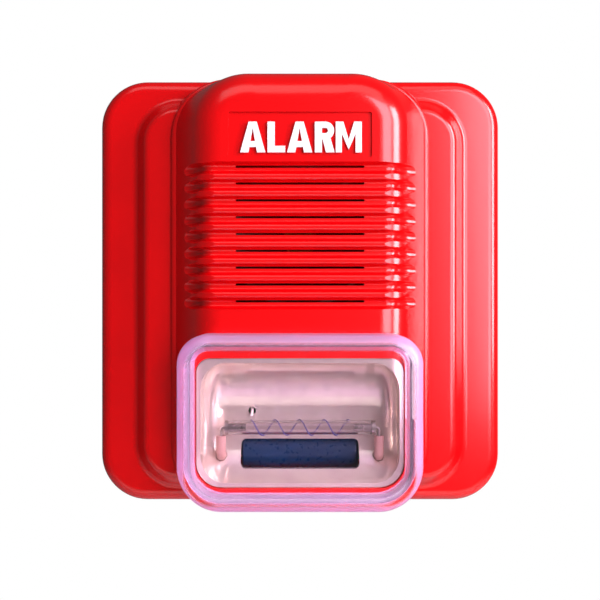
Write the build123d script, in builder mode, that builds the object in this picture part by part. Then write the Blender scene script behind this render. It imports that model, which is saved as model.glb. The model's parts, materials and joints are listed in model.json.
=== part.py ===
from build123d import *
import math
import os

# Wall horn strobe: a red moulded cover with a louvred horn hump and a clear strobe lens,
# swinging on the top hooks of a flat base plate. X right, Z up, the front faces -Y, and
# the wall face is Y = 0. "depth" is always the distance in front of the wall.

# --- body ---
body_width = 120.0
body_height = 126.4
body_corner = 14.0
wall_thickness = 2.5
flange_depth = 20.0
cover_rear_depth = 2.7
flange_edge_round = 3.6

# --- raised plateau round the hump ---
plateau_half_width = 49.0
plateau_top = 56.8
plateau_bottom = -58.4
plateau_corner = 13.0
plateau_depth = 24.5
plateau_slope_width = 3.6
plateau_cavity_depth = 22.0

# --- hump ---
hump_front_depth = 38.5
hump_front_half_width = 27.2
hump_slope_rise = 1.389
hump_top = 62.3
hump_bottom = -59.4
hump_corner_round = 16.0
hump_shoulder_round = 10.0
step_half_width = 37.8
step_depth = 26.0
hump_wall = 5.0
pedestal_side_depth = 30.9

# --- louvres ---
groove_count = 9
groove_pitch = 4.7
groove_first = 33.9
groove_depth = 1.9
ridge_drop = 0.1
slot_half_width = 18.0
slot_height = 0.6
slot_rise = 0.55

# --- nameplate ---
plate_half_width = 20.0
plate_low = 36.8
plate_high = 49.4
plate_floor_depth = 37.8
letter_low = 38.1
letter_high = 46.6
letter_front_depth = 38.7
letter_stroke = 2.0

# --- lens and strobe ---
lens_half_width = 32.7
lens_top = -12.0
lens_bottom = -59.0
lens_front_depth = 51.6
lens_wall = 2.5
ledge_depth = 35.5
opening_half_width = 29.2
opening_top = -19.1
opening_bottom = -55.4
trough_centre_z = -37.25
trough_centre_depth = 43.0
trough_radius = 18.5
reflector_wall = 1.3
tube_depth = 30.0
tube_z = -39.3
tube_radius = 2.0

# --- hinge on the base hooks ---
hinge_depth = 6.9
hinge_z = 59.0
hinge_bar_radius = 1.3
hook_inner_radius = 1.38
hook_x = 32.0

# --- lock screw under the bottom edge ---
lock_depth = 9.0
lock_screw_radius = 1.5
lock_tab_top = -57.6
lock_tab_low = -59.6

# --- circuit board ---
board_rear_depth = 12.0
board_front_depth = 13.6
board_half_width = 42.0
board_top = 50.0
board_bottom = -51.5
board_post_x = 38.0
board_post_top = 45.5
board_post_bottom = -46.5

# --- base plate ---
base_thickness = 2.5
base_inset = 0.3
lip_depth = 6.0
entry_z = 16.5
entry_radius = 9.5
grommet_bore_radius = 5.0
wall_screw_spacing = 60.3
wall_screw_z = -18.0
wall_screw_radius = 2.25

# --- horn ---
horn_z = 15.0
horn_tab_x = 27.0

# --- terminals ---
terminal_pitch = 5.08
terminal_z = 34.0
terminal_height = 8.4
terminal_xs = [-7.62, -2.54, 2.54, 7.62]

os.makedirs("parts", exist_ok=True)


def save(piece, name):
    """Label one piece and write its file."""
    piece.label = name
    export_step(piece, "parts/" + name + ".step")


def outline_block(half_width, low, high, low_round, high_round, depth_from, depth_to):
    """An upright block facing the front, with its own radius at the top and bottom corners."""
    with BuildPart() as block:
        with BuildSketch(Plane.XZ.offset(depth_from)) as outline:
            with Locations((0, (low + high) / 2)):
                Rectangle(2 * half_width, high - low)
            fillet(outline.vertices().group_by(Axis.Y)[-1], high_round)
            fillet(outline.vertices().group_by(Axis.Y)[0], low_round)
        extrude(amount=depth_to - depth_from)
    return block.part


def trapezoid_block(front_half, front_depth, foot_depth, low, high, corner, shoulder):
    """A hump with sloped sides, rounded ends and a rounded front rim."""
    foot_half = front_half + (front_depth - foot_depth) / hump_slope_rise
    with BuildPart() as block:
        with BuildSketch(Plane.XY.offset(low)):
            with BuildLine():
                Polyline(
                    (-foot_half, -foot_depth),
                    (-front_half, -front_depth),
                    (front_half, -front_depth),
                    (foot_half, -foot_depth),
                    close=True,
                )
            make_face()
        extrude(amount=high - low)
        ends = block.edges().filter_by(GeomType.LINE)
        ends = ends.filter_by(Axis.Z, reverse=True).filter_by(Axis.X, reverse=True)
        fillet(ends, corner)
        if shoulder > 0:
            fillet(block.faces().sort_by(Axis.Y)[0].edges(), shoulder)
    return block.part


def wire_through(points, bend, radius):
    """A wire through corner points, with every corner bent to the same radius."""
    with BuildPart() as wire:
        with BuildLine() as route:
            FilletPolyline(*points, radius=bend)
        path = route.wires()[0]
        with BuildSketch(Plane(origin=path @ 0, z_dir=path % 0)):
            Circle(radius)
        sweep(path=path)
    return wire.part


# ---------------------------------------------------------------- front cover
hump_shape = trapezoid_block(
    hump_front_half_width,
    hump_front_depth,
    flange_depth - 1.0,
    hump_bottom,
    hump_top,
    hump_corner_round,
    hump_shoulder_round,
)
inner_front_depth = hump_front_depth - hump_wall
inner_slope_shift = hump_wall * math.sqrt(1 + hump_slope_rise**2)
inner_front_half = hump_front_half_width - (inner_slope_shift - hump_wall) / hump_slope_rise
hump_cavity = trapezoid_block(
    inner_front_half, inner_front_depth, flange_depth - 4.0, -10.0, hump_top - 6.0, 16.0, 0
)
lens_outline_block = outline_block(
    lens_half_width, lens_bottom, lens_top, 12.0, 8.0, ledge_depth, hump_front_depth + 4.0
)

step_block = outline_block(step_half_width, -60.0, 62.0, 14.0, 17.0, flange_depth - 1.0, step_depth)
pedestal_block = outline_block(
    lens_half_width, lens_bottom, lens_top, 12.0, 8.0, flange_depth - 1.0, ledge_depth
)
pedestal_side = outline_block(
    lens_half_width, lens_bottom, lens_top, 12.0, 8.0, flange_depth - 1.0, hump_front_depth + 6.0
)
pedestal_cavity = outline_block(
    lens_half_width - 2.4, lens_bottom + 2.4, lens_top - 2.4, 9.6, 5.6, 16.0, ledge_depth - 2.5
)
ledge_opening = outline_block(
    opening_half_width, opening_bottom, opening_top, 7.0, 4.0, 30.0, 40.0
)
rim_outer = outline_block(
    lens_half_width - 2.6, lens_bottom + 2.6, lens_top - 2.6, 9.4, 5.4, ledge_depth - 1, ledge_depth + 1.0
)
rim_inner = outline_block(
    lens_half_width - 3.8, lens_bottom + 3.8, lens_top - 3.8, 8.2, 4.2, ledge_depth, ledge_depth + 2.0
)
with BuildPart() as lower_trim:
    with BuildSketch(Plane.XZ.offset(pedestal_side_depth)):
        with Locations((0, -47.5)):
            Rectangle(90, 35)
    extrude(amount=12)
    add(pedestal_side, mode=Mode.SUBTRACT)

# louvre cutter: one wave of nine grooves swept round the hump
with BuildPart() as groove_wave:
    with BuildLine() as groove_path:
        FilletPolyline(
            (-36.2, -31.0),
            (-31.0, -33.2),
            (-hump_front_half_width, -hump_front_depth),
            (hump_front_half_width, -hump_front_depth),
            (31.0, -33.2),
            (36.2, -31.0),
            radius=6.0,
        )
    groove_wire = groove_path.wires()[0]
    wave_plane = Plane(origin=groove_wire @ 0, x_dir=(0, 0, 1), z_dir=groove_wire % 0)
    round_sum = ((groove_pitch / 2) ** 2 + groove_depth**2) / (2 * groove_depth)
    groove_bottom_round = round_sum * 0.58
    ridge_round = round_sum - groove_bottom_round
    with BuildSketch(wave_plane):
        with BuildLine():
            last_point = None
            for count in range(groove_count):
                middle = groove_first - groove_pitch * count
                valley_y = -ridge_drop - groove_depth + groove_bottom_round
                ridge_y = -ridge_drop - ridge_round
                share = groove_bottom_round / round_sum
                tangent_x = groove_pitch / 2 * share
                tangent_y = valley_y + (ridge_y - valley_y) * share
                high_tangent = (middle + tangent_x, tangent_y)
                low_tangent = (middle - tangent_x, tangent_y)
                valley = (middle, -ridge_drop - groove_depth)
                ThreePointArc(high_tangent, valley, low_tangent)
                if last_point is not None:
                    crest = (middle + groove_pitch / 2, -ridge_drop)
                    ThreePointArc(last_point, crest, high_tangent)
                else:
                    first_point = high_tangent
                last_point = low_tangent
            reach = 1.3
            Polyline(
                last_point,
                (last_point[0] - 0.35, 0.0),
                (last_point[0] - 0.5, reach),
                (first_point[0] + 0.5, reach),
                (first_point[0] + 0.35, 0.0),
                first_point,
            )
        make_face()
    sweep(path=groove_wire)
groove_cutter = groove_wave.part
with BuildPart() as front_cover:
    with BuildSketch(Plane.XZ.offset(cover_rear_depth)):
        RectangleRounded(body_width, body_height, body_corner)
    extrude(amount=flange_depth - cover_rear_depth)
    fillet(front_cover.faces().sort_by(Axis.Y)[0].edges(), flange_edge_round)

    # plateau with sloped sides
    plateau_middle = (plateau_top + plateau_bottom) / 2
    plateau_height = plateau_top - plateau_bottom
    with BuildSketch(Plane.XZ.offset(flange_depth)):
        with Locations((0, plateau_middle)):
            RectangleRounded(2 * plateau_half_width, plateau_height, plateau_corner)
    with BuildSketch(Plane.XZ.offset(plateau_depth)):
        with Locations((0, plateau_middle)):
            RectangleRounded(
                2 * (plateau_half_width - plateau_slope_width),
                plateau_height - 2 * plateau_slope_width,
                plateau_corner - plateau_slope_width,
            )
    loft()
    fillet(front_cover.faces().sort_by(Axis.Y)[0].edges(), 2.4)
    foot = front_cover.edges().filter_by_position(Axis.Y, -flange_depth - 0.01, -flange_depth + 0.01)
    foot = foot.filter_by_position(Axis.X, -plateau_half_width - 0.1, plateau_half_width + 0.1)
    foot = foot.filter_by_position(Axis.Z, plateau_bottom - 0.1, plateau_top + 0.1)
    fillet(foot, 2.2)

    # low step round the foot of the hump
    add(step_block)
    fillet(front_cover.faces().sort_by(Axis.Y)[0].edges(), 1.2)

    add(hump_shape)

    # pedestal under the lens, and the hump cut back to its ledge
    add(pedestal_block)
    add(lens_outline_block, mode=Mode.SUBTRACT)
    add(lower_trim.part, mode=Mode.SUBTRACT)

    # louvre grooves wrap round the shoulders and die out on the slopes
    add(groove_cutter, mode=Mode.SUBTRACT)

    # nameplate recess
    with BuildSketch(Plane.XZ.offset(plate_floor_depth)):
        with Locations((0, (plate_low + plate_high) / 2)):
            RectangleRounded(2 * plate_half_width, plate_high - plate_low, 0.8)
    extrude(amount=3, mode=Mode.SUBTRACT)

    # hollow inside
    with BuildSketch(Plane.XZ.offset(cover_rear_depth)):
        RectangleRounded(
            body_width - 2 * wall_thickness,
            body_height - 2 * wall_thickness,
            body_corner - wall_thickness,
        )
    extrude(amount=flange_depth - wall_thickness - cover_rear_depth, mode=Mode.SUBTRACT)
    with BuildSketch(Plane.XZ.offset(flange_depth - wall_thickness - 1)):
        with Locations((0, plateau_middle)):
            RectangleRounded(2 * plateau_half_width - 10, plateau_height - 10, 8.0)
    extrude(amount=plateau_cavity_depth - flange_depth + wall_thickness + 1, mode=Mode.SUBTRACT)
    add(hump_cavity, mode=Mode.SUBTRACT)
    add(pedestal_cavity, mode=Mode.SUBTRACT)
    add(ledge_opening, mode=Mode.SUBTRACT)

    # sound slots in the upper side of each groove
    for count in range(groove_count):
        slot_z = groove_first - groove_pitch * count + slot_rise
        with BuildSketch(Plane.XZ.offset(inner_front_depth - 2)):
            with Locations((0, slot_z)):
                SlotOverall(2 * slot_half_width, slot_height)
        extrude(amount=5.5, mode=Mode.SUBTRACT)

    # locating rim inside the foot of the lens
    add(rim_outer)
    add(rim_inner, mode=Mode.SUBTRACT)
    add(pedestal_cavity, mode=Mode.SUBTRACT)
    add(ledge_opening, mode=Mode.SUBTRACT)

    # board posts
    for post_z in (board_post_bottom, board_post_top):
        for post_x in (-board_post_x, board_post_x):
            with BuildSketch(Plane.XZ.offset(board_front_depth)):
                with Locations((post_x, post_z)):
                    Circle(3.2)
            extrude(amount=plateau_cavity_depth - board_front_depth + 0.6)
            with BuildSketch(Plane.XZ.offset(board_front_depth)):
                with Locations((post_x, post_z)):
                    Circle(1.25)
            extrude(amount=7.0, mode=Mode.SUBTRACT)

    # horn bosses
    for boss_x in (-horn_tab_x, horn_tab_x):
        with BuildSketch(Plane.XZ.offset(21.5)):
            with Locations((boss_x, horn_z)):
                Circle(2.6)
        extrude(amount=9.5)
        with BuildSketch(Plane.XZ.offset(21.5)):
            with Locations((boss_x, horn_z)):
                Circle(1.25)
        extrude(amount=6.0, mode=Mode.SUBTRACT)

    # hinge bars between ribs under the top edge
    for side in (-1, 1):
        for rib_x in (side * hook_x - 4.3, side * hook_x + 4.3):
            with BuildSketch(Plane.YZ.offset(rib_x - 0.8)):
                with Locations((-hinge_depth, hinge_z)):
                    Circle(2.5)
                with Locations((-hinge_depth - 1.0, hinge_z + 1.4)):
                    Rectangle(4.4, 2.8)
            extrude(amount=1.6)
        with BuildSketch(Plane.YZ.offset(side * hook_x - 4.0)):
            with Locations((-hinge_depth, hinge_z)):
                Circle(hinge_bar_radius)
        extrude(amount=8.0)

    # lock screw hole, its counterbore and the ribs that keep the nut square
    with BuildSketch(Plane.XY.offset(-body_height / 2 - 1)):
        with Locations((0, -lock_depth)):
            Circle(3.1)
    extrude(amount=2.6, mode=Mode.SUBTRACT)
    with BuildSketch(Plane.XY.offset(-body_height / 2 - 1)):
        with Locations((0, -lock_depth)):
            Circle(lock_screw_radius + 0.08)
    extrude(amount=5.0, mode=Mode.SUBTRACT)
    for side in (-1, 1):
        with BuildSketch(Plane.XY.offset(-57.2)):
            with Locations((side * 3.6, -12.0)):
                Rectangle(1.5, 12.0)
        extrude(amount=3.6)
        with BuildSketch(Plane.XY.offset(-61.0)):
            with Locations((side * 3.6, -15.8)):
                Rectangle(1.5, 4.4)
        extrude(amount=4.0)

# rounded rear edge along the top, so the cover can swing without fouling the plate
rear_round = hinge_depth - cover_rear_depth
with BuildPart() as rear_corner:
    with BuildSketch(Plane.YZ.offset(-body_width)):
        with Locations((-cover_rear_depth - rear_round / 2 + 1, hinge_z + 5)):
            Rectangle(rear_round + 2, 10)
        with Locations((-hinge_depth, hinge_z)):
            Circle(rear_round, mode=Mode.SUBTRACT)
    extrude(amount=2 * body_width)
with BuildPart() as cover_whole:
    add(front_cover.part)
    add(rear_corner.part, mode=Mode.SUBTRACT)
save(cover_whole.part, "front_cover")

# ---------------------------------------------------------------- base plate
with BuildPart() as base_plate:
    with BuildSketch(Plane.XZ):
        RectangleRounded(
            body_width - 2 * base_inset, body_height - 2 * base_inset, body_corner - base_inset
        )
    extrude(amount=base_thickness)
    fillet(base_plate.faces().sort_by(Axis.Y)[-1].edges(), 0.6)

    # locating lip along the sides and the bottom
    lip_half_width = body_width / 2 - wall_thickness - 0.3
    lip_half_height = body_height / 2 - wall_thickness - 0.3
    with BuildSketch(Plane.XZ.offset(base_thickness)):
        RectangleRounded(2 * lip_half_width, 2 * lip_half_height, 11.2)
        RectangleRounded(2 * lip_half_width - 3.2, 2 * lip_half_height - 3.2, 9.6, mode=Mode.SUBTRACT)
        with Locations((0, 54)):
            Rectangle(140, 30, mode=Mode.SUBTRACT)
    extrude(amount=lip_depth - base_thickness)

    # hooks for the cover's hinge bars
    for side in (-1, 1):
        with BuildSketch(Plane.YZ.offset(side * hook_x - 2.5)):
            with Locations((-hinge_depth, hinge_z)):
                Circle(3.3)
            with BuildLine():
                Polyline(
                    (-base_thickness + 0.5, hinge_z - 8.0),
                    (-base_thickness + 0.5, hinge_z - 1.1),
                    (-hinge_depth, hinge_z - 1.1),
                    (-hinge_depth - 2.9, hinge_z - 1.6),
                    (-hinge_depth - 1.5, hinge_z - 4.4),
                    close=True,
                )
            make_face()
            with Locations((-hinge_depth, hinge_z)):
                Circle(hook_inner_radius, mode=Mode.SUBTRACT)
            with Locations((-hinge_depth, hinge_z + 5)):
                Rectangle(2 * hook_inner_radius, 10, mode=Mode.SUBTRACT)
            with Locations((-hinge_depth + 3, hinge_z + 4.7)):
                Rectangle(6, 10, mode=Mode.SUBTRACT)
            with Locations((-hinge_depth - 3, hinge_z + 6.2)):
                Rectangle(6, 10, mode=Mode.SUBTRACT)
        extrude(amount=5.0)

    # tab with an open-fronted slot for the lock screw
    with BuildSketch(Plane.XY.offset(lock_tab_low)):
        with Locations((0, -(base_thickness + 13.0) / 2)):
            Rectangle(14.0, 13.0 - base_thickness)
        with Locations((0, -lock_depth)):
            Circle(1.7, mode=Mode.SUBTRACT)
        with Locations((0, -lock_depth - 5)):
            Rectangle(3.4, 10, mode=Mode.SUBTRACT)
    extrude(amount=lock_tab_top - lock_tab_low)
    for side in (-1, 1):
        with BuildSketch(Plane.YZ.offset(side * 6.0 - 0.8)):
            with BuildLine():
                Polyline(
                    (-base_thickness, lock_tab_top),
                    (-base_thickness - 5.5, lock_tab_top),
                    (-base_thickness, lock_tab_top + 5.5),
                    close=True,
                )
            make_face()
        extrude(amount=1.6)

    # stiffening ribs
    for rib_x in (-46.0, 46.0):
        with BuildSketch(Plane.XZ.offset(base_thickness)):
            with Locations((rib_x, -4)):
                Rectangle(1.4, 84)
        extrude(amount=2.0)
    for rib_z in (-46.0, 45.0):
        with BuildSketch(Plane.XZ.offset(base_thickness)):
            with Locations((0, rib_z)):
                Rectangle(90.6, 1.4)
        extrude(amount=2.0)

    # cable entry with a relief behind for the grommet's rear flange
    with BuildSketch(Plane.XZ):
        with Locations((0, entry_z)):
            Circle(entry_radius)
    extrude(amount=base_thickness, mode=Mode.SUBTRACT)
    with BuildSketch(Plane.XZ):
        with Locations((0, entry_z)):
            Circle(entry_radius + 2.5)
    extrude(amount=0.9, mode=Mode.SUBTRACT)

    # wall screw holes with raised pads
    for hole_x in (-wall_screw_spacing / 2, wall_screw_spacing / 2):
        with BuildSketch(Plane.XZ.offset(base_thickness)):
            with Locations((hole_x, wall_screw_z)):
                Circle(5.5)
        extrude(amount=1.0)
        with BuildSketch(Plane.XZ):
            with Locations((hole_x, wall_screw_z)):
                Circle(wall_screw_radius)
        extrude(amount=base_thickness + 1.0, mode=Mode.SUBTRACT)
save(base_plate.part, "base_plate")

with BuildPart() as cable_grommet:
    with BuildSketch(Plane.XZ.offset(0.1)):
        with Locations((0, entry_z)):
            Circle(entry_radius + 2.3)
    extrude(amount=0.8)
    with BuildSketch(Plane.XZ.offset(0.1)):
        with Locations((0, entry_z)):
            Circle(entry_radius)
    extrude(amount=base_thickness)
    with BuildSketch(Plane.XZ.offset(base_thickness)):
        with Locations((0, entry_z)):
            Circle(entry_radius + 2.3)
    extrude(amount=1.3)
    fillet(cable_grommet.faces().sort_by(Axis.Y)[0].edges(), 0.5)
    with BuildSketch(Plane.XZ):
        with Locations((0, entry_z)):
            Circle(grommet_bore_radius)
    extrude(amount=5, mode=Mode.SUBTRACT)
save(cable_grommet.part, "cable_grommet")

# ---------------------------------------------------------------- lock screw and nut
with BuildPart() as lock_screw:
    head_low = -body_height / 2 + 0.05
    with BuildSketch(Plane.XY.offset(head_low)):
        with Locations((0, -lock_depth)):
            Circle(2.8)
    extrude(amount=1.5)
    fillet(lock_screw.faces().sort_by(Axis.Z)[0].edges(), 0.5)
    with BuildSketch(Plane.XY.offset(head_low + 1.5)):
        with Locations((0, -lock_depth)):
            Circle(lock_screw_radius)
    extrude(amount=9.4)
    chamfer(lock_screw.faces().sort_by(Axis.Z)[-1].edges(), 0.35)
    with BuildSketch(Plane.XY.offset(head_low)):
        with Locations((0, -lock_depth)):
            Rectangle(3.4, 0.7)
            Rectangle(0.7, 3.4)
    extrude(amount=1.0, mode=Mode.SUBTRACT)
save(lock_screw.part, "lock_screw")

with BuildPart() as lock_nut:
    with BuildSketch(Plane.XY.offset(lock_tab_top + 0.05)):
        with Locations((0, -lock_depth)):
            Rectangle(5.5, 5.5)
            Circle(lock_screw_radius + 0.05, mode=Mode.SUBTRACT)
    extrude(amount=2.0)
save(lock_nut.part, "lock_nut")

# ---------------------------------------------------------------- nameplate letters
stroke = letter_stroke
letter_height = letter_high - letter_low


def letter_a(left, width):
    """Two slanted strokes and a bar."""
    middle = left + width / 2
    half = stroke * 0.56
    return [
        [
            (left, letter_low),
            (middle - half, letter_high),
            (middle + half, letter_high),
            (left + width, letter_low),
            (left + width - stroke * 1.15, letter_low),
            (middle, letter_high - 1.7),
            (left + stroke * 1.15, letter_low),
        ],
        [
            (left + width * 0.2, letter_low + 1.5),
            (left + width * 0.8, letter_low + 1.5),
            (left + width * 0.7, letter_low + 3.1),
            (left + width * 0.3, letter_low + 3.1),
        ],
    ]


def letter_l(left, width):
    """An upright and a foot."""
    return [
        [
            (left, letter_low),
            (left + width, letter_low),
            (left + width, letter_low + 1.8),
            (left + stroke, letter_low + 1.8),
            (left + stroke, letter_high),
            (left, letter_high),
        ]
    ]


def letter_m(left, width):
    """Two uprights joined by a notch."""
    middle = left + width / 2
    return [
        [
            (left, letter_low),
            (left, letter_high),
            (left + stroke * 1.05, letter_high),
            (middle, letter_low + 3.6),
            (left + width - stroke * 1.05, letter_high),
            (left + width, letter_high),
            (left + width, letter_low),
            (left + width - stroke * 0.85, letter_low),
            (left + width - stroke * 0.85, letter_high - 3.3),
            (middle, letter_low + 0.8),
            (left + stroke * 0.85, letter_high - 3.3),
            (left + stroke * 0.85, letter_low),
        ]
    ]


letter_shapes = [
    letter_a(-16.6, 7.0),
    letter_l(-9.0, 4.9),
    letter_a(-3.6, 7.0),
    None,
    letter_m(9.9, 7.2),
]
with BuildPart() as legend_letters:
    for shape in letter_shapes:
        if shape is not None:
            with BuildSketch(Plane.XZ.offset(plate_floor_depth)):
                for outline in shape:
                    with BuildLine():
                        Polyline(*outline, close=True)
                    make_face()
            extrude(amount=letter_front_depth - plate_floor_depth)
    # the fourth letter has a bowl and a leg
    bowl_left = 4.1
    bowl_z = letter_high - 2.45
    with BuildSketch(Plane.XZ.offset(plate_floor_depth)):
        with Locations((bowl_left + stroke / 2, (letter_low + letter_high) / 2)):
            Rectangle(stroke, letter_height)
        with Locations((bowl_left + 1.6, bowl_z)):
            Rectangle(3.2, 4.9)
        with Locations((bowl_left + 2.9, bowl_z)):
            Circle(2.45)
        with BuildLine():
            Polyline(
                (bowl_left + 1.7, bowl_z - 0.6),
                (bowl_left + 3.9, bowl_z - 0.6),
                (bowl_left + 5.5, letter_low),
                (bowl_left + 3.1, letter_low),
                close=True,
            )
        make_face()
        with Locations((bowl_left + stroke + 0.5, bowl_z)):
            Rectangle(1.0, 1.5, mode=Mode.SUBTRACT)
        with Locations((bowl_left + stroke + 0.9, bowl_z)):
            Circle(0.75, mode=Mode.SUBTRACT)
    extrude(amount=letter_front_depth - plate_floor_depth)
save(legend_letters.part, "legend_letters")

# ---------------------------------------------------------------- lens
lens_outer = outline_block(
    lens_half_width, lens_bottom, lens_top, 12.0, 8.0, ledge_depth + 0.05, lens_front_depth
)
lens_inner = outline_block(
    lens_half_width - lens_wall,
    lens_bottom + lens_wall,
    lens_top - lens_wall,
    12.0 - lens_wall,
    8.0 - lens_wall,
    ledge_depth - 1,
    lens_front_depth - lens_wall,
)
with BuildPart() as lens_core:
    add(lens_inner)
    fillet(lens_core.faces().sort_by(Axis.Y)[0].edges(), 2.6)
with BuildPart() as lens:
    add(lens_outer)
    fillet(lens.faces().sort_by(Axis.Y)[0].edges(), 3.6)
    add(lens_core.part, mode=Mode.SUBTRACT)
save(lens.part, "lens")

# ---------------------------------------------------------------- reflector
trough_bottom_depth = trough_centre_depth - trough_radius


def trough(radius, half_length, end_round, front_depth):
    """A bath-shaped solid: part of a lying cylinder with rounded ends, cut off at the front."""
    with BuildPart() as bath:
        with BuildSketch(Plane.YZ.offset(-half_length)):
            with Locations((-trough_centre_depth, trough_centre_z)):
                Circle(radius)
            with Locations((-front_depth - 30, trough_centre_z)):
                Rectangle(60, 80, mode=Mode.SUBTRACT)
        extrude(amount=2 * half_length)
        arcs = bath.edges().filter_by(GeomType.CIRCLE)
        fillet(arcs, end_round)
    return bath.part


trough_inner = trough(trough_radius, 27.9, 7.0, 35.3)
trough_outer = trough(trough_radius + reflector_wall, 28.75, 8.0, 35.0)
reflector_rim = outline_block(29.0, opening_bottom + 0.2, opening_top - 0.2, 6.9, 3.9, 32.0, 35.3)
reflector_flange = outline_block(30.0, -56.4, -16.6, 9.4, 6.0, 31.7, 32.95)
with BuildPart() as reflector:
    add(trough_outer)
    # flange behind the ledge and rim standing in its opening
    add(reflector_flange)
    add(reflector_rim)
    add(trough_inner, mode=Mode.SUBTRACT)
    # slot over the flash capacitor
    with BuildSketch(Plane.XZ.offset(20.0)):
        with Locations((0, -47.1)):
            RectangleRounded(34.2, 7.8, 1.6)
    extrude(amount=12.0, mode=Mode.SUBTRACT)
    # hole for the trigger lead
    with BuildSketch(Plane.XZ.offset(20.0)):
        with Locations((-14.0, -35.2)):
            Circle(1.1)
    extrude(amount=9.0, mode=Mode.SUBTRACT)
    # holes for the tube leads
    for side in (-1, 1):
        with BuildSketch(Plane.XZ.offset(20.0)):
            with Locations((side * 22.6, -47.6)):
                Circle(1.5)
        extrude(amount=12.0, mode=Mode.SUBTRACT)
save(reflector.part, "reflector")

# ---------------------------------------------------------------- xenon tube
def lying_rod(start_x, end_x, z, depth, radius, bore=0.0):
    """A round rod or sleeve lying along X."""
    with BuildPart() as rod:
        with BuildSketch(Plane.YZ.offset(start_x)):
            with Locations((-depth, z)):
                Circle(radius)
                if bore > 0:
                    Circle(bore, mode=Mode.SUBTRACT)
        extrude(amount=end_x - start_x)
    return rod.part


xenon_tube = lying_rod(-20.5, 20.5, tube_z, tube_depth, tube_radius, tube_radius - 0.5)
save(xenon_tube, "xenon_tube")

with BuildPart() as tube_electrodes:
    for side in (-1, 1):
        start = side * 15.5
        with BuildSketch(Plane.YZ.offset(start)):
            with Locations((-tube_depth, tube_z)):
                Circle(1.1)
        extrude(amount=side * 5.0)
        with BuildSketch(Plane.YZ.offset(side * 20.5)):
            with Locations((-tube_depth, tube_z)):
                Circle(tube_radius)
        extrude(amount=side * 1.0)
save(tube_electrodes.part, "tube_electrodes")


def tube_lead_points(side):
    """The stiff lead leaves the cap, turns down, then goes back through the reflector."""
    return [
        (side * 21.5, -tube_depth, tube_z),
        (side * 22.6, -tube_depth, tube_z),
        (side * 22.6, -tube_depth, -47.6),
        (side * 22.6, -board_front_depth, -47.6),
    ]


with BuildPart() as tube_leads:
    for side in (-1, 1):
        with BuildLine():
            lead_route = FilletPolyline(*tube_lead_points(side), radius=0.8)
        with BuildSketch(Plane(origin=lead_route @ 0, z_dir=lead_route % 0)):
            Circle(0.4)
        sweep(path=lead_route)
save(tube_leads.part, "tube_leads")

with BuildPart() as tube_sleeves:
    for side in (-1, 1):
        with BuildLine():
            sleeve_route = FilletPolyline(
                (side * 22.6, -tube_depth, -41.6),
                (side * 22.6, -tube_depth, -47.6),
                (side * 22.6, -16.0, -47.6),
                radius=1.6,
            )
        with BuildSketch(Plane(origin=sleeve_route @ 0, z_dir=sleeve_route % 0)):
            Circle(1.35)
            Circle(0.9, mode=Mode.SUBTRACT)
        sweep(path=sleeve_route)
save(tube_sleeves.part, "tube_sleeves")

with BuildPart() as trigger_wire:
    with BuildLine():
        wrap = Helix(
            pitch=7.0,
            height=28.0,
            radius=tube_radius + 0.2,
            center=(-14.0, -tube_depth, tube_z),
            direction=(1, 0, 0),
        )
    with BuildSketch(Plane(origin=wrap @ 0, z_dir=wrap % 0)):
        Circle(0.16)
    sweep(path=wrap, is_frenet=True)
save(trigger_wire.part, "trigger_wire")

# ---------------------------------------------------------------- board and its parts
with BuildPart() as main_board:
    with BuildSketch(Plane.XZ.offset(board_rear_depth)):
        with Locations((0, (board_top + board_bottom) / 2)):
            RectangleRounded(2 * board_half_width, board_top - board_bottom, 3.0)
        for post_z in (board_post_bottom, board_post_top):
            for post_x in (-board_post_x, board_post_x):
                with Locations((post_x, post_z)):
                    Circle(1.6, mode=Mode.SUBTRACT)
        for pin_x in terminal_xs:
            with Locations((pin_x, terminal_z + 3.0)):
                Circle(0.62, mode=Mode.SUBTRACT)
    extrude(amount=board_front_depth - board_rear_depth)
save(main_board.part, "main_board")


def screw_from_rear(x, z, head_depth, head_radius, head_height, shank_radius, length):
    """A pan head screw driven from the rear, as two solids of revolution in one."""
    with BuildPart() as screw:
        with BuildSketch(Plane.XZ.offset(head_depth - head_height)):
            with Locations((x, z)):
                Circle(head_radius)
        extrude(amount=head_height)
        fillet(screw.faces().sort_by(Axis.Y)[-1].edges(), head_height * 0.4)
        with BuildSketch(Plane.XZ.offset(head_depth)):
            with Locations((x, z)):
                Circle(shank_radius)
        extrude(amount=length)
        with BuildSketch(Plane.XZ.offset(head_depth - head_height)):
            with Locations((x, z)):
                Rectangle(head_radius * 1.2, 0.5)
                Rectangle(0.5, head_radius * 1.2)
        extrude(amount=head_height * 0.6, mode=Mode.SUBTRACT)
    return screw.part


screw_places = []
for post_z in (board_post_bottom, board_post_top):
    for post_x in (-board_post_x, board_post_x):
        screw_places.append((post_x, post_z))
screw_pieces = [screw_from_rear(x, z, board_rear_depth, 2.6, 1.6, 1.24, 7.5) for x, z in screw_places]
with BuildPart() as board_screws:
    for piece in screw_pieces:
        add(piece)
save(board_screws.part, "board_screws")

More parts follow.
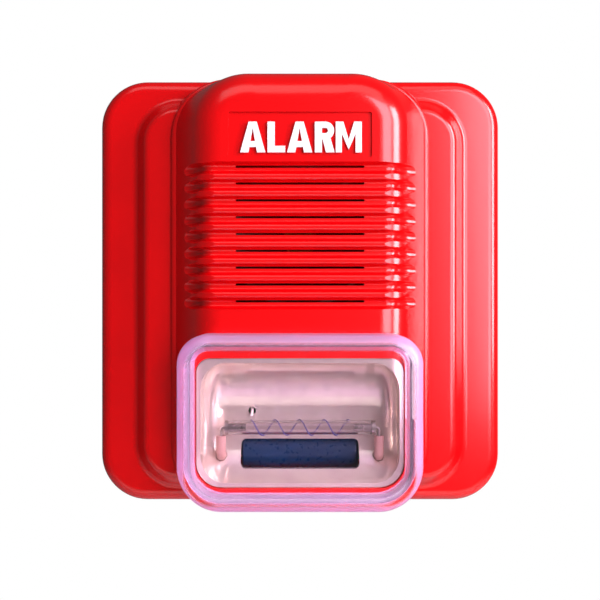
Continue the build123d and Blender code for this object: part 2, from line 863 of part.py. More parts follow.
# flash capacitor lying behind the reflector slot
cap_z = -47.6
cap_depth = 19.4
cap_radius = 5.6
with BuildPart() as flash_capacitor_can:
    with BuildSketch(Plane.YZ.offset(-16.6)):
        with Locations((-cap_depth, cap_z)):
            Circle(cap_radius - 0.25)
    extrude(amount=33.2)
    fillet(flash_capacitor_can.faces().sort_by(Axis.X)[-1].edges(), 0.8)
save(flash_capacitor_can.part, "flash_capacitor_can")
with BuildPart() as flash_capacitor_sleeve:
    with BuildSketch(Plane.YZ.offset(-17.0)):
        with Locations((-cap_depth, cap_z)):
            Circle(cap_radius)
    extrude(amount=34.0)
    fillet(flash_capacitor_sleeve.faces().sort_by(Axis.X)[-1].edges(), 0.8)
    fillet(flash_capacitor_sleeve.faces().sort_by(Axis.X)[0].edges(), 0.6)
    add(flash_capacitor_can.part, mode=Mode.SUBTRACT)
    with BuildSketch(Plane.YZ.offset(10.0)):
        with Locations((-cap_depth, cap_z)):
            Circle(4.2)
    extrude(amount=10.0, mode=Mode.SUBTRACT)
    with BuildSketch(Plane.YZ.offset(-20.0)):
        with Locations((-cap_depth, cap_z)):
            Circle(4.2)
    extrude(amount=10.0, mode=Mode.SUBTRACT)
save(flash_capacitor_sleeve.part, "flash_capacitor_sleeve")
with BuildPart() as flash_capacitor_leads:
    for lead_z in (-49.4, -44.6):
        with BuildLine():
            cap_route = FilletPolyline(
                (-16.6, -cap_depth, lead_z),
                (-19.2, -cap_depth, lead_z),
                (-19.2, -board_front_depth, lead_z),
                radius=1.0,
            )
        with BuildSketch(Plane(origin=cap_route @ 0, z_dir=cap_route % 0)):
            Circle(0.3)
        sweep(path=cap_route)
save(flash_capacitor_leads.part, "flash_capacitor_leads")


def board_block(x, z, width, height, rise, edge=0.3, lift=0.0):
    """A rectangular component standing on the front of the board."""
    with BuildPart() as block:
        with BuildSketch(Plane.XZ.offset(board_front_depth + lift)):
            with Locations((x, z)):
                Rectangle(width, height)
        extrude(amount=rise)
        if edge > 0:
            fillet(block.faces().sort_by(Axis.Y)[0].edges(), edge)
    return block.part


def board_drum(x, z, radius, rise, lift=0.0, edge=0.0):
    """A round component standing on the front of the board."""
    with BuildPart() as drum:
        with BuildSketch(Plane.XZ.offset(board_front_depth + lift)):
            with Locations((x, z)):
                Circle(radius)
        extrude(amount=rise)
        if edge > 0:
            fillet(drum.faces().sort_by(Axis.Y)[0].edges(), edge)
    return drum.part


save(board_block(-22.0, -28.0, 9.0, 9.0, 8.0, 0.5), "trigger_transformer")

# insulated lead from the transformer through the reflector to the start of the wrap
save(
    wire_through(
        [
            (-20.5, -21.6, -29.5),
            (-20.5, -22.9, -29.5),
            (-14.0, -23.0, -34.6),
            (-14.0, -26.6, -36.2),
        ],
        0.6,
        0.4,
    ),
    "trigger_lead",
)

# drum core inductor of the step-up converter
with BuildPart() as boost_inductor_core:
    add(board_drum(10.0, -26.0, 5.0, 1.2))
    add(board_drum(10.0, -26.0, 2.4, 8.0))
    add(board_drum(10.0, -26.0, 5.0, 1.2, 6.8))
save(boost_inductor_core.part, "boost_inductor_core")
with BuildPart() as boost_inductor_winding:
    add(board_drum(10.0, -26.0, 4.5, 5.6, 1.2))
    add(board_drum(10.0, -26.0, 2.4, 5.6, 1.2), mode=Mode.SUBTRACT)
save(boost_inductor_winding.part, "boost_inductor_winding")

# coil that drives the piezo disc
with BuildPart() as horn_coil_core:
    add(board_drum(36.0, 9.5, 4.6, 1.0))
    add(board_drum(36.0, 9.5, 2.0, 7.0))
    add(board_drum(36.0, 9.5, 4.6, 1.0, 6.0))
save(horn_coil_core.part, "horn_coil_core")
with BuildPart() as horn_coil_winding:
    add(board_drum(36.0, 9.5, 4.1, 5.0, 1.0))
    add(board_drum(36.0, 9.5, 2.0, 5.0, 1.0), mode=Mode.SUBTRACT)
save(horn_coil_winding.part, "horn_coil_winding")

# supply capacitor
supply_can = board_drum(-6.0, -24.0, 3.8, 8.2, 0.0, 0.6)
with BuildPart() as supply_capacitor_sleeve:
    add(board_drum(-6.0, -24.0, 4.0, 7.6, 0.2))
    add(supply_can, mode=Mode.SUBTRACT)
save(supply_can, "supply_capacitor_can")
save(supply_capacitor_sleeve.part, "supply_capacitor_sleeve")

save(board_block(24.0, -24.0, 9.5, 6.4, 3.4, 0.25, 0.5), "controller_chip")
with BuildPart() as controller_pins:
    for side in (-1, 1):
        for count in range(4):
            with BuildSketch(Plane.XZ.offset(board_front_depth)):
                with Locations((20.2 + 2.54 * count, -24.0 + side * 3.7)):
                    Rectangle(0.5, 1.0)
            extrude(amount=1.9)
save(controller_pins.part, "controller_pins")

save(board_block(25.0, -37.0, 10.0, 4.6, 6.5, 0.3), "film_capacitor")

with BuildPart() as driver_transistors:
    for place in ((0.0, -36.5), (8.0, -36.5)):
        with BuildSketch(Plane.XZ.offset(board_front_depth + 0.2)):
            with Locations(place):
                Rectangle(6.4, 5.4)
        extrude(amount=2.3)
save(driver_transistors.part, "driver_transistors")

with BuildPart() as rectifier_diodes:
    for count in range(4):
        with BuildSketch(Plane.XZ.offset(board_front_depth)):
            with Locations((-34.0, 2.0 + 6.0 * count)):
                Rectangle(4.4, 2.6)
        extrude(amount=2.2)
save(rectifier_diodes.part, "rectifier_diodes")

with BuildPart() as resistors:
    for place in (
        (31.5, -6.0),
        (31.5, -10.0),
        (31.5, -14.0),
        (-31.5, -8.0),
        (-31.5, -12.0),
        (35.0, 27.0),
        (35.0, 31.0),
        (-35.0, 33.0),
    ):
        with BuildSketch(Plane.XZ.offset(board_front_depth)):
            with Locations(place):
                Rectangle(3.2, 1.6)
        extrude(amount=0.6)
save(resistors.part, "resistors")

# ---------------------------------------------------------------- horn
with BuildPart() as horn_body:
    with BuildSketch(Plane.XZ.offset(16.2)):
        with Locations((0, horn_z)):
            Circle(22.6)
    extrude(amount=5.3)
    # tabs
    with BuildSketch(Plane.XZ.offset(19.5)):
        with Locations((0, horn_z)):
            Rectangle(2 * horn_tab_x, 6.4)
        with Locations((-horn_tab_x, horn_z), (horn_tab_x, horn_z)):
            Circle(3.2)
    extrude(amount=2.0)
    with BuildSketch(Plane.XZ.offset(21.5)):
        with Locations((0, horn_z)):
            Circle(7.0)
    with BuildSketch(Plane.XZ.offset(33.0)):
        with Locations((0, horn_z)):
            Circle(20.4)
    loft()
    # rear chamber, front air chamber, throat and flare
    with BuildSketch(Plane.XZ.offset(16.2)):
        with Locations((0, horn_z)):
            Circle(20.8)
    extrude(amount=2.8, mode=Mode.SUBTRACT)
    with BuildSketch(Plane.XZ.offset(19.0)):
        with Locations((0, horn_z)):
            Circle(19.0)
    extrude(amount=1.0, mode=Mode.SUBTRACT)
    with BuildSketch(Plane.XZ.offset(20.0)):
        with Locations((0, horn_z)):
            Circle(5.0)
    extrude(amount=1.5, mode=Mode.SUBTRACT)
    with BuildSketch(Plane.XZ.offset(21.4)):
        with Locations((0, horn_z)):
            Circle(5.0)
    with BuildSketch(Plane.XZ.offset(33.0)):
        with Locations((0, horn_z)):
            Circle(19.0)
    loft(mode=Mode.SUBTRACT)
    with BuildSketch(Plane.XZ.offset(19.0)):
        with Locations((-horn_tab_x, horn_z), (horn_tab_x, horn_z)):
            Circle(1.45)
    extrude(amount=3.0, mode=Mode.SUBTRACT)
save(horn_body.part, "horn_body")


def horn_disc(radius, from_depth, to_depth, bore=0.0):
    """A flat disc or ring centred on the horn."""
    with BuildPart() as disc:
        with BuildSketch(Plane.XZ.offset(from_depth)):
            with Locations((0, horn_z)):
                Circle(radius)
                if bore > 0:
                    Circle(bore, mode=Mode.SUBTRACT)
        extrude(amount=to_depth - from_depth)
    return disc.part


save(horn_disc(20.6, 18.7, 19.0), "piezo_disc")
save(horn_disc(12.5, 18.45, 18.7), "piezo_ceramic")
with BuildPart() as horn_retainer:
    add(horn_disc(20.75, 16.3, 18.7, 18.2))
save(horn_retainer.part, "horn_retainer")

horn_screw_pieces = [
    screw_from_rear(x, horn_z, 19.5, 2.4, 1.5, 1.24, 7.0) for x in (-horn_tab_x, horn_tab_x)
]
with BuildPart() as horn_screws:
    for piece in horn_screw_pieces:
        add(piece)
save(horn_screws.part, "horn_screws")

save(
    wire_through(
        [(5, -18.45, 20), (5, -14.9, 20), (28, -14.9, 34), (28, -13.6, 34)], 0.7, 0.5
    ),
    "piezo_lead_red",
)
save(
    wire_through(
        [(-15, -18.7, 21), (-15, -14.9, 21), (-28, -14.9, 34), (-28, -13.6, 34)], 0.7, 0.5
    ),
    "piezo_lead_black",
)

# ---------------------------------------------------------------- terminals
def rear_block(x, z, width, height, low, high):
    """A block on the rear of the board between two heights above it."""
    with BuildPart() as block:
        with BuildSketch(Plane.XZ.offset(board_rear_depth - high)):
            with Locations((x, z)):
                Rectangle(width, height)
        extrude(amount=high - low)
    return block.part


def rear_disc(x, z, radius, low, high):
    """A round block on the rear of the board between two heights above it."""
    with BuildPart() as disc:
        with BuildSketch(Plane.XZ.offset(board_rear_depth - high)):
            with Locations((x, z)):
                Circle(radius)
        extrude(amount=high - low)
    return disc.part


terminal_cuts = []
for terminal_x in terminal_xs:
    terminal_cuts.append(rear_block(terminal_x, terminal_z, 4.2, 4.2, 0.5, 6.5))
    terminal_cuts.append(rear_disc(terminal_x, terminal_z, 1.32, 6.0, 8.0))
    terminal_cuts.append(rear_disc(terminal_x, terminal_z, 2.0, 7.2, 9.0))
    terminal_cuts.append(rear_block(terminal_x, terminal_z - 3.5, 3.4, 4.0, 1.2, 5.2))
    terminal_cuts.append(rear_block(terminal_x, terminal_z + 2.8, 2.5, 1.8, -0.5, 3.6))
terminal_shell = rear_block(0, terminal_z, 4 * terminal_pitch + 1.0, 8.6, 0.0, terminal_height)
with BuildPart() as terminal_block:
    add(terminal_shell)
    for cut in terminal_cuts:
        add(cut, mode=Mode.SUBTRACT)
save(terminal_block.part, "terminal_block")

terminal_bars = []
for terminal_x in terminal_xs:
    terminal_bars.append(rear_block(terminal_x, terminal_z + 0.85, 2.4, 5.3, 2.9, 3.5))
    terminal_bars.append(rear_block(terminal_x, terminal_z + 3.0, 0.8, 0.8, -2.8, 3.2))
with BuildPart() as terminal_pins:
    for bar in terminal_bars:
        add(bar)
save(terminal_pins.part, "terminal_pins")

for count, terminal_x in enumerate(terminal_xs):
    cage_outer = rear_block(terminal_x, terminal_z, 4.0, 4.0, 0.6, 4.8)
    cage_window = rear_block(terminal_x, terminal_z, 2.7, 6.0, 1.3, 4.0)
    cage_thread = rear_disc(terminal_x, terminal_z, 1.3, 3.5, 5.5)
    with BuildPart() as clamp:
        add(cage_outer)
        add(cage_window, mode=Mode.SUBTRACT)
        add(cage_thread, mode=Mode.SUBTRACT)
    save(clamp.part, "terminal_clamp_" + str(count + 1))

    screw_head = rear_disc(terminal_x, terminal_z, 1.9, 7.25, 8.35)
    screw_shank = rear_disc(terminal_x, terminal_z, 1.25, 3.6, 7.3)
    screw_slot = rear_block(terminal_x, terminal_z, 4.4, 0.6, 7.85, 9.0)
    with BuildPart() as clamp_screw:
        add(screw_head)
        add(screw_shank)
        add(screw_slot, mode=Mode.SUBTRACT)
    save(clamp_screw.part, "terminal_screw_" + str(count + 1))

# ---------------------------------------------------------------- setting switches
switch_x = 26.0
switch_z = 34.0
switch_xs = [switch_x - 3.81, switch_x - 1.27, switch_x + 1.27, switch_x + 3.81]
switch_cuts = [rear_block(x, switch_z, 1.3, 3.4, 1.4, 4.0) for x in switch_xs]
switch_shell = rear_block(switch_x, switch_z, 11.6, 6.6, 0.0, 3.2)
with BuildPart() as dip_switch_body:
    add(switch_shell)
    for cut in switch_cuts:
        add(cut, mode=Mode.SUBTRACT)
save(dip_switch_body.part, "dip_switch_body")
for count, slider_x in enumerate(switch_xs):
    save(
        rear_block(slider_x, switch_z - 1.0, 1.1, 1.2, 1.5, 3.9), "dip_slider_" + str(count + 1)
    )

# ---------------------------------------------------------------- volume trimmer
trimmer_x = -26.0
trimmer_z = 34.0
trimmer_shell = rear_block(trimmer_x, trimmer_z, 6.6, 6.6, 0.0, 3.6)
trimmer_hole = rear_disc(trimmer_x, trimmer_z, 2.2, 1.8, 4.0)
with BuildPart() as trimmer_body:
    add(trimmer_shell)
    add(trimmer_hole, mode=Mode.SUBTRACT)
save(trimmer_body.part, "trimmer_body")
rotor_disc = rear_disc(trimmer_x, trimmer_z, 2.12, 1.9, 3.8)
rotor_slot = rear_block(trimmer_x, trimmer_z, 0.6, 3.2, 3.2, 5.0)
rotor_cross = rear_block(trimmer_x, trimmer_z, 3.2, 0.6, 3.2, 5.0)
with BuildPart() as trimmer_rotor:
    add(rotor_disc)
    add(rotor_slot, mode=Mode.SUBTRACT)
    add(rotor_cross, mode=Mode.SUBTRACT)
save(trimmer_rotor.part, "trimmer_rotor")
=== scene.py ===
import json
import math
import bpy
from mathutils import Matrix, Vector

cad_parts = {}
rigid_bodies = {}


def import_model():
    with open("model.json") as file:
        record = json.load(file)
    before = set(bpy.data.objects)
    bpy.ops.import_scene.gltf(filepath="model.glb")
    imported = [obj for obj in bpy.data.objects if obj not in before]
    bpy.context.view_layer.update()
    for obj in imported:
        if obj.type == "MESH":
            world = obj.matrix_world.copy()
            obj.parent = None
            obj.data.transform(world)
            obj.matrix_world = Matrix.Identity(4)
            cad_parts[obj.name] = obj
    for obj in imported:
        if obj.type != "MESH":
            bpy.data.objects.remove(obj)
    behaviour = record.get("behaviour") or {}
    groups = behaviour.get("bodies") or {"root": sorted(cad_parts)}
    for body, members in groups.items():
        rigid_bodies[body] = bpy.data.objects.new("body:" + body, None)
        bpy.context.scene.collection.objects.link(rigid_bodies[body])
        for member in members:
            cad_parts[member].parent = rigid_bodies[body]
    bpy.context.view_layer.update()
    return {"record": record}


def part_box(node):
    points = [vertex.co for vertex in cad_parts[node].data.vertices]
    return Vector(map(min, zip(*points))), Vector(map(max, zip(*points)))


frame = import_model()

# The frame's axes: X right, Z up, the front faces -Y, and the wall face is Y = 0. Lengths are in metres,
# and a name that ends in MM is in millimetres.
MM_PER_M = 1000.0

# A noise keeps mostly between these two values, so a pattern is stretched over them.
NOISE_LOW = 0.35
NOISE_HIGH = 0.65

# Moulded plastic: the colour drifts as the melt flowed, and the gloss varies with the mould's grain.
FLOW_MM = 28.0
PLASTIC_GLOSSIER = 0.9
PLASTIC_DULLER = 1.12
PLASTIC_GRAIN_STRENGTH = 0.5

# Metal: the tarnish lies in small patches, and the gloss varies with it.
TARNISH_MM = 6.0
METAL_GLOSSIER = 0.8
METAL_DULLER = 1.25
METAL_GRAIN_STRENGTH = 0.4

# Clear plastic and glass: the skin has a shallow ripple, and shadows under it are light.
RIPPLE_STRENGTH = 0.4
CLEAR_SHADOW = "#f4f0f6"

# The lens: its corner radius, how far inside it haze and painted glow begin and are full, and what haze does.
LENS_CORNER = 0.010
HAZE_AND_GLOW_BEGINS_INSIDE = 0.0028
HAZE_AND_GLOW_FULL_INSIDE = 0.0018
HAZE_ROUGHNESS = 0.32
HAZE_TRANSMISSION = 0.68

# Sockets of a Mix node that mixes colours, which share their names with other sockets.
FACTOR = 0
FIRST_COLOUR = 6
SECOND_COLOUR = 7
MIXED_COLOUR = 2


def colour(hexadecimal):
    """An sRGB hex colour as linear values for a shader."""
    parts = []
    for start in (1, 3, 5):
        value = int(hexadecimal[start : start + 2], 16) / 255
        if value <= 0.04045:
            parts.append(value / 12.92)
        else:
            parts.append(((value + 0.055) / 1.055) ** 2.4)
    return (*parts, 1.0)


def node(tree, kind, inputs=None, **settings):
    """Add one shader node, set its options and link or set its inputs."""
    made = tree.nodes.new(kind)
    for name, value in settings.items():
        setattr(made, name, value)
    for name, value in (inputs or {}).items():
        if isinstance(value, bpy.types.NodeSocket):
            tree.links.new(value, made.inputs[name])
        else:
            made.inputs[name].default_value = value
    return made


def material(name):
    """A fresh material and its empty node tree."""
    made = bpy.data.materials.new(name)
    made.use_nodes = True
    made.node_tree.nodes.clear()
    return made, made.node_tree


# ---------------------------------------------------------------- finishes
def moulded(name, base, shade, roughness, grain_mm, grain_depth_mm, coat=0.0, coat_rough=0.1, specular=0.5):
    """Moulded plastic: slightly uneven colour, a fine mould grain and a soft gloss."""
    made, tree = material(name)
    place = node(tree, "ShaderNodeTexCoord").outputs["Object"]
    flow = node(tree, "ShaderNodeTexNoise", {
        "Vector": place,
        "Scale": MM_PER_M / FLOW_MM,
        "Detail": 2.0,
    })
    grain = node(tree, "ShaderNodeTexNoise", {
        "Vector": place,
        "Scale": MM_PER_M / grain_mm,
        "Detail": 2.0,
    })
    drift = node(tree, "ShaderNodeMapRange", {
        "Value": flow.outputs["Fac"],
        "From Min": NOISE_LOW,
        "From Max": NOISE_HIGH,
    })
    tone = node(tree, "ShaderNodeMix", {
        FACTOR: drift.outputs[0],
        FIRST_COLOUR: colour(base),
        SECOND_COLOUR: colour(shade),
    }, data_type="RGBA")
    gloss = node(tree, "ShaderNodeMapRange", {
        "Value": grain.outputs["Fac"],
        "From Min": NOISE_LOW,
        "From Max": NOISE_HIGH,
        "To Min": roughness * PLASTIC_GLOSSIER,
        "To Max": roughness * PLASTIC_DULLER,
    })
    relief = node(tree, "ShaderNodeBump", {
        "Height": grain.outputs["Fac"],
        "Strength": PLASTIC_GRAIN_STRENGTH,
        "Distance": grain_depth_mm / MM_PER_M,
    })
    shader = node(tree, "ShaderNodeBsdfPrincipled", {
        "Base Color": tone.outputs[MIXED_COLOUR],
        "Roughness": gloss.outputs[0],
        "Specular IOR Level": specular,
        "Coat Weight": coat,
        "Coat Roughness": coat_rough,
        "Normal": relief.outputs[0],
    })
    node(tree, "ShaderNodeOutputMaterial", {"Surface": shader.outputs[0]})
    return made


def metal(name, base, shade, roughness, grain_mm, grain_depth_mm=0.004, metallic=1.0):
    """Metal with faint tarnish and fine tool marks."""
    made, tree = material(name)
    place = node(tree, "ShaderNodeTexCoord").outputs["Object"]
    tarnish = node(tree, "ShaderNodeTexNoise", {
        "Vector": place,
        "Scale": MM_PER_M / TARNISH_MM,
        "Detail": 3.0,
    })
    marks = node(tree, "ShaderNodeTexNoise", {
        "Vector": place,
        "Scale": MM_PER_M / grain_mm,
        "Detail": 2.0,
    })
    patches = node(tree, "ShaderNodeMapRange", {
        "Value": tarnish.outputs["Fac"],
        "From Min": NOISE_LOW,
        "From Max": NOISE_HIGH,
    })
    tone = node(tree, "ShaderNodeMix", {
        FACTOR: patches.outputs[0],
        FIRST_COLOUR: colour(base),
        SECOND_COLOUR: colour(shade),
    }, data_type="RGBA")
    gloss = node(tree, "ShaderNodeMapRange", {
        "Value": tarnish.outputs["Fac"],
        "From Min": NOISE_LOW,
        "From Max": NOISE_HIGH,
        "To Min": roughness * METAL_GLOSSIER,
        "To Max": roughness * METAL_DULLER,
    })
    relief = node(tree, "ShaderNodeBump", {
        "Height": marks.outputs["Fac"],
        "Strength": METAL_GRAIN_STRENGTH,
        "Distance": grain_depth_mm / MM_PER_M,
    })
    shader = node(tree, "ShaderNodeBsdfPrincipled", {
        "Base Color": tone.outputs[MIXED_COLOUR],
        "Metallic": metallic,
        "Roughness": gloss.outputs[0],
        "Normal": relief.outputs[0],
    })
    node(tree, "ShaderNodeOutputMaterial", {"Surface": shader.outputs[0]})
    return made


def wall_haze_and_painted_glow(tree):
    """1 in the lens's thick wall and 0 in its polished front, corners as round as its own; places haze and
    painted glow.
    """
    low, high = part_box("lens")
    middle = ((low[0] + high[0]) / 2, 0.0, (low[2] + high[2]) / 2)
    # depth plays no part, so the half size along Y only has to be larger than the lens
    half = ((high[0] - low[0]) / 2 - LENS_CORNER, 1.0, (high[2] - low[2]) / 2 - LENS_CORNER)
    place = node(tree, "ShaderNodeTexCoord").outputs["Object"]
    shifted = node(tree, "ShaderNodeVectorMath", {0: place, 1: middle}, operation="SUBTRACT")
    mirrored = node(tree, "ShaderNodeVectorMath", {0: shifted.outputs[0]}, operation="ABSOLUTE")
    beyond = node(tree, "ShaderNodeVectorMath", {0: mirrored.outputs[0], 1: half}, operation="SUBTRACT")
    outside = node(tree, "ShaderNodeVectorMath", {0: beyond.outputs[0], 1: (0, 0, 0)}, operation="MAXIMUM")
    reach = node(tree, "ShaderNodeVectorMath", {0: outside.outputs[0]}, operation="LENGTH")
    haze_and_painted_glow = node(tree, "ShaderNodeMapRange", {
        "Value": reach.outputs["Value"],
        "From Min": LENS_CORNER - HAZE_AND_GLOW_BEGINS_INSIDE,
        "From Max": LENS_CORNER - HAZE_AND_GLOW_FULL_INSIDE,
    })
    return haze_and_painted_glow.outputs[0]


def clear(name, tint, roughness, ior, ripple_mm, ripple_depth_mm, painted_glow_tint=None):
    """Clear moulded plastic or glass with a faint ripple, hazy and painted with a lilac glow in its wall if
    asked.
    """
    made, tree = material(name)
    ripple = node(tree, "ShaderNodeTexNoise", {
        "Vector": node(tree, "ShaderNodeTexCoord").outputs["Object"],
        "Scale": MM_PER_M / ripple_mm,
        "Detail": 1.0,
    })
    relief = node(tree, "ShaderNodeBump", {
        "Height": ripple.outputs["Fac"],
        "Strength": RIPPLE_STRENGTH,
        "Distance": ripple_depth_mm / MM_PER_M,
    })
    inputs = {
        "Base Color": colour(tint),
        "Roughness": roughness,
        "IOR": ior,
        "Transmission Weight": 1.0,
        "Normal": relief.outputs[0],
    }
    if painted_glow_tint:
        haze_and_painted_glow = wall_haze_and_painted_glow(tree)
        # the lilac mixed into the wall is painted light, a glow that stands in for light glancing along the
        # thick edge
        tone = node(tree, "ShaderNodeMix", {
            FACTOR: haze_and_painted_glow,
            FIRST_COLOUR: colour(tint),
            SECOND_COLOUR: colour(painted_glow_tint),
        }, data_type="RGBA")
        dulling = node(tree, "ShaderNodeMapRange", {
            "Value": haze_and_painted_glow,
            "To Min": roughness,
            "To Max": HAZE_ROUGHNESS,
        })
        passing = node(tree, "ShaderNodeMapRange", {
            "Value": haze_and_painted_glow,
            "To Min": 1.0,
            "To Max": HAZE_TRANSMISSION,
        })
        inputs["Base Color"] = tone.outputs[MIXED_COLOUR]
        inputs["Roughness"] = dulling.outputs[0]
        inputs["Transmission Weight"] = passing.outputs[0]
    shader = node(tree, "ShaderNodeBsdfPrincipled", inputs)
    # shadow rays pass, so light reaches what the clear piece covers
    open_shader = node(tree, "ShaderNodeBsdfTransparent", {"Color": colour(CLEAR_SHADOW)})
    either = node(tree, "ShaderNodeMixShader", {
        0: node(tree, "ShaderNodeLightPath").outputs["Is Shadow Ray"],
        1: shader.outputs[0],
        2: open_shader.outputs[0],
    })
    node(tree, "ShaderNodeOutputMaterial", {"Surface": either.outputs[0]})
    return made


# ---------------------------------------------------------------- materials
# Cover: ABS from a satin mould. A saturated fire red, with a soft gloss that turns pink where a large
# light glances off it. Such a grain is finer than this in life, and is drawn coarse enough to show.
red_abs = moulded("red ABS, satin moulded", "#d60006", "#cc0006", 0.21, 0.35, 0.0015,
                  coat=0.3, coat_rough=0.14)
# Base: the same plastic from a plainer mould. A slightly deeper red with a duller sheen.
base_abs = moulded("red ABS, plain moulded", "#d00008", "#c40008", 0.36, 0.4, 0.006)
# Letters: ABS from a polished mould. A clean white that catches small highlights.
white_abs = moulded("white ABS letters, glossy", "#f4f1f1", "#e9e6e6", 0.25, 0.4, 0.004, coat=0.3)
# Lens: injection moulded polycarbonate. The polished front hardly shows, and the thick wall is milky.
# Its lilac is a painted glow that stands in for light glancing along the thick edge.
lens_clear = clear("clear polycarbonate lens", "#f9f5fd", 0.012, 1.585, 9.0, 0.03, "#dcbce6")
# Flash tube: drawn glass. Only its edges and a few glints show.
tube_clear = clear("borosilicate tube glass", "#faf6f7", 0.01, 1.47, 4.0, 0.004)
# Trigger wire: drawn and enamelled. A thin dark blue line with fine glints.
enamel = moulded("blue enamelled trigger wire", "#1d1b74", "#171660", 0.3, 0.3, 0.004, coat=0.3)
# Reflector: plastic with a vacuum metal film. A warm, cloudy mirror, so it isn't wholly metallic.
reflector_metal = metal("vacuum metallised reflector", "#ebe0d0", "#e2d4c8", 0.13, 2.0, 0.006, metallic=0.7)
# Tube leads and end caps: nickel plate. A warm grey with a soft shine.
nickel = metal("nickel plated lead", "#b3aca4", "#9a938b", 0.3, 0.3)
# Screws: zinc plated steel. A cool pale grey with small broken highlights.
steel = metal("zinc plated steel screw", "#b7babd", "#9d9fa2", 0.32, 0.25)
# Board leads: tinned copper. A bright, slightly soft silver.
tinned = metal("tinned copper lead", "#bdbdbb", "#a9a9a8", 0.28, 0.3)
# Sounder disc: rolled brass. A yellow with a gentle satin shine.
brass = metal("rolled brass", "#c9a75f", "#b08f4b", 0.32, 0.3)
# Terminal cages: nickel plated brass. A pale straw metal with a dull shine.
terminal_brass = metal("nickel plated brass cage", "#c4b083", "#a9966c", 0.34, 0.3)
# Capacitor cans: drawn aluminium. A light neutral grey with a soft sheen.
aluminium = metal("drawn aluminium can", "#c9cbce", "#b6b8bc", 0.3, 0.4)
# Windings: enamelled copper. A reddish brown, broken up by the unevenness of its turns.
copper = metal("enamelled copper winding", "#b0562a", "#8f431f", 0.34, 0.3, 0.02)
# Flash capacitor: shrunk plastic sleeve. A very dark blue with one smooth, soft highlight.
sleeve_blue = moulded("dark blue shrink sleeve", "#00284c", "#002142", 0.3, 1.2, 0.0003, coat=0.2)
# Supply capacitor: the same kind of sleeve. Near black with a soft highlight.
sleeve_black = moulded("black shrink sleeve", "#17181b", "#101114", 0.32, 0.6, 0.004)
# Sleeves of the tube's leads: extruded silicone. A dull, warm beige without a clear highlight.
silicone = moulded("extruded silicone sleeve", "#b08a80", "#9c766d", 0.5, 0.5, 0.008)
# Circuit board: solder mask over laminate. A deep green under a thin gloss.
laminate = moulded("green solder mask", "#1f6d38", "#195c2e", 0.34, 0.8, 0.006, coat=0.2)
# Horn: ABS from a matt mould. A deep black that shows only broad soft light.
black_matte = moulded("black moulded ABS", "#161618", "#0f0f11", 0.5, 0.4, 0.01)
# Chips and transformer: moulded epoxy. A dry charcoal with almost no shine.
epoxy = moulded("moulded epoxy", "#1a1a1c", "#131315", 0.55, 0.25, 0.008)
# Coil cores: pressed and sintered ferrite. A dark grey with a stony grain.
ferrite = moulded("sintered ferrite", "#2d2c2d", "#232223", 0.6, 0.25, 0.01)
# Film capacitor: dipped resin. An amber yellow with a rounded gloss.
film_yellow = moulded("dipped yellow capacitor case", "#cc9019", "#bb8113", 0.32, 0.6, 0.006)
# Resistors: fired ceramic. A dark slate with a dull glaze.
resistor = moulded("fired resistor ceramic", "#23262c", "#1b1d22", 0.45, 0.3, 0.006)
# Sounder's crystal: ceramic with silver fired onto it. A pale, warm, chalky grey.
ceramic = moulded("silvered piezo ceramic", "#e3dfd2", "#d6d1c2", 0.42, 0.5, 0.006)
# Lead insulation: extruded PVC and silicone. Even colours with a waxy sheen.
red_wire = moulded("extruded red PVC", "#b4131b", "#a31017", 0.42, 0.5, 0.006)
black_wire = moulded("extruded black PVC", "#161618", "#101012", 0.42, 0.5, 0.006)
cream_wire = moulded("extruded cream silicone", "#e8e4dd", "#dcd6cc", 0.42, 0.5, 0.006)
# Terminal block: moulded polyamide. A mid green with a waxy sheen.
terminal_green = moulded("green moulded polyamide", "#20814a", "#1a6f3e", 0.4, 0.5, 0.008)
# Setting switch: moulded polyester. A strong blue with a satin sheen.
switch_blue = moulded("blue moulded polyester", "#1d4198", "#173680", 0.4, 0.5, 0.008)
# Switch sliders and trimmer rotor: moulded nylon. A milky off-white.
nylon = moulded("white moulded nylon", "#ece9e3", "#e0dcd4", 0.45, 0.4, 0.008)
# Trimmer: moulded case. A lighter blue with a satin sheen.
trimmer_blue = moulded("blue moulded trimmer case", "#2b64b3", "#2357a0", 0.38, 0.5, 0.006)
# Grommet: moulded rubber. A powdery black without a clear highlight.
rubber = moulded("black EPDM rubber", "#1b1b1c", "#141415", 0.7, 0.35, 0.015, specular=0.3)

# which material each of the record's material slots gets
looks = {
    "red_abs": red_abs,
    "base_red_abs": base_abs,
    "letter_white": white_abs,
    "clear_polycarbonate": lens_clear,
    "metallised_plastic": reflector_metal,
    "tube_glass": tube_clear,
    "nickel": nickel,
    "electrode_nickel": nickel,
    "silicone_sleeve": silicone,
    "trigger_nickel": enamel,
    "trigger_insulation": cream_wire,
    "board_laminate": laminate,
    "steel_screw": steel,
    "capacitor_aluminium": aluminium,
    "capacitor_sleeve_blue": sleeve_blue,
    "capacitor_sleeve_black": sleeve_black,
    "tinned_lead": tinned,
    "transformer_black": epoxy,
    "ferrite": ferrite,
    "copper_winding": copper,
    "chip_epoxy": epoxy,
    "film_capacitor_yellow": film_yellow,
    "resistor_ceramic": resistor,
    "horn_black": black_matte,
    "brass_disc": brass,
    "piezo_ceramic": ceramic,
    "wire_red": red_wire,
    "wire_black": black_wire,
    "terminal_green": terminal_green,
    "terminal_brass": terminal_brass,
    "switch_blue": switch_blue,
    "slider_white": nylon,
    "trimmer_blue": trimmer_blue,
    "rotor_white": nylon,
    "grommet_rubber": rubber,
}
slots = {entry["node"]: entry["material_slot"] for entry in frame["record"]["subparts"]}
for item in bpy.data.objects:
    if item.type == "MESH" and item.name in slots:
        for slot in item.material_slots:
            slot.material = looks[slots[item.name]]

# ---------------------------------------------------------------- floor and surround
FLOOR_BELOW = 0.35
FLOOR_SIZE = 1.2
FLOOR_SPECKLE_MM = 12.0
FLOOR_GLOW = 0.75
SURROUND_SEEN = 1.0
SURROUND_LIGHT = 0.10


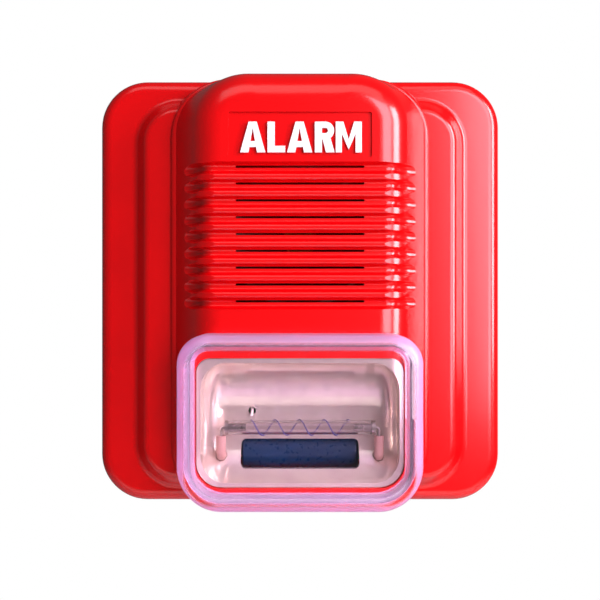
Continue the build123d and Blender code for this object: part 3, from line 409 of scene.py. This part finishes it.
def pale_floor():
    """A plain pale floor well below the part, which hangs on a wall."""
    made, tree = material("plain pale floor, matt")
    speckle = node(tree, "ShaderNodeTexNoise", {
        "Vector": node(tree, "ShaderNodeTexCoord").outputs["Object"],
        "Scale": MM_PER_M / FLOOR_SPECKLE_MM,
        "Detail": 2.0,
    })
    patches = node(tree, "ShaderNodeMapRange", {
        "Value": speckle.outputs["Fac"],
        "From Min": NOISE_LOW,
        "From Max": NOISE_HIGH,
    })
    tone = node(tree, "ShaderNodeMix", {
        FACTOR: patches.outputs[0],
        FIRST_COLOUR: colour("#f4f2f1"),
        SECOND_COLOUR: colour("#efedec"),
    }, data_type="RGBA")
    # the lights stand close to the part, so the floor glows to the camera alone to stay pale
    glow = node(tree, "ShaderNodeMapRange", {
        "Value": node(tree, "ShaderNodeLightPath").outputs["Is Camera Ray"],
        "To Max": FLOOR_GLOW,
    })
    shader = node(tree, "ShaderNodeBsdfPrincipled", {
        "Base Color": tone.outputs[MIXED_COLOUR],
        "Roughness": 0.9,
        "Emission Color": tone.outputs[MIXED_COLOUR],
        "Emission Strength": glow.outputs[0],
    })
    node(tree, "ShaderNodeOutputMaterial", {"Surface": shader.outputs[0]})
    bpy.ops.mesh.primitive_plane_add(size=FLOOR_SIZE, location=(0, 0, -FLOOR_BELOW))
    floor = bpy.context.object
    floor.name = "floor"
    floor.data.materials.append(made)


def white_surround():
    """A surround that looks white and lights the part only faintly, as a dark studio does."""
    world = bpy.data.worlds.new("white surround")
    bpy.context.scene.world = world
    world.use_nodes = True
    tree = world.node_tree
    tree.nodes.clear()
    strength = node(tree, "ShaderNodeMapRange", {
        "Value": node(tree, "ShaderNodeLightPath").outputs["Is Camera Ray"],
        "To Min": SURROUND_LIGHT,
        "To Max": SURROUND_SEEN,
    })
    background = node(tree, "ShaderNodeBackground", {
        "Color": colour("#ffffff"),
        "Strength": strength.outputs[0],
    })
    node(tree, "ShaderNodeOutputWorld", {"Surface": background.outputs[0]})


pale_floor()
white_surround()

# ---------------------------------------------------------------- soft studio light
RIGHT_OF_MIDDLE = (0.02, -0.02, 0.0)
BODY_MIDDLE = (0.0, -0.02, 0.0)
STROBE = (0.0, -0.03, -0.02)


def soft_light(name, place, target, width, height, power, tint="#ffffff"):
    """A soft box that faces a point. Its power is in watts."""
    data = bpy.data.lights.new(name, "AREA")
    data.shape = "RECTANGLE"
    data.size = width
    data.size_y = height
    data.energy = power
    data.color = colour(tint)[:3]
    lamp = bpy.data.objects.new(name, data)
    bpy.context.collection.objects.link(lamp)
    lamp.location = place
    lamp.rotation_euler = (Vector(target) - Vector(place)).to_track_quat("-Z", "Y").to_euler()


soft_light("right softbox", place=(0.22, -0.37, 0.10), target=RIGHT_OF_MIDDLE,
           width=0.20, height=0.40, power=2.1, tint="#ffe6f4")
soft_light("side strip", place=(0.40, -0.22, 0.12), target=RIGHT_OF_MIDDLE,
           width=0.15, height=0.36, power=3.0, tint="#ffeef6")
soft_light("top softbox", place=(0.02, -0.30, 0.45), target=BODY_MIDDLE,
           width=0.6, height=0.25, power=0.6)
soft_light("low fill", place=(0.0, -0.30, -0.33), target=STROBE,
           width=0.6, height=0.25, power=0.3, tint="#fff4ec")

# ---------------------------------------------------------------- camera
CAMERA_DISTANCE = 0.268
CAMERA_DROP = 0.0028
SENSOR_MM = 36.0
CAMERA_LENS_MM = 49.7
# the camera looks along +Y, and a new one looks down, so it turns up by a quarter
QUARTER_TURN = math.radians(90.0)
# this close to the part, the usual near limit would cut into what a nearer view shows
NEAREST_SEEN = 0.01

camera_data = bpy.data.cameras.new("camera")
camera_data.sensor_width = SENSOR_MM
camera_data.lens = CAMERA_LENS_MM
camera_data.clip_start = NEAREST_SEEN
camera = bpy.data.objects.new("camera", camera_data)
bpy.context.collection.objects.link(camera)
camera.location = (0.0, -CAMERA_DISTANCE, -CAMERA_DROP)
camera.rotation_euler = (QUARTER_TURN, 0, 0)
bpy.context.scene.camera = camera
# shown with plain sRGB contrast, so the red keeps its full strength
bpy.context.scene.view_settings.view_transform = "Standard"
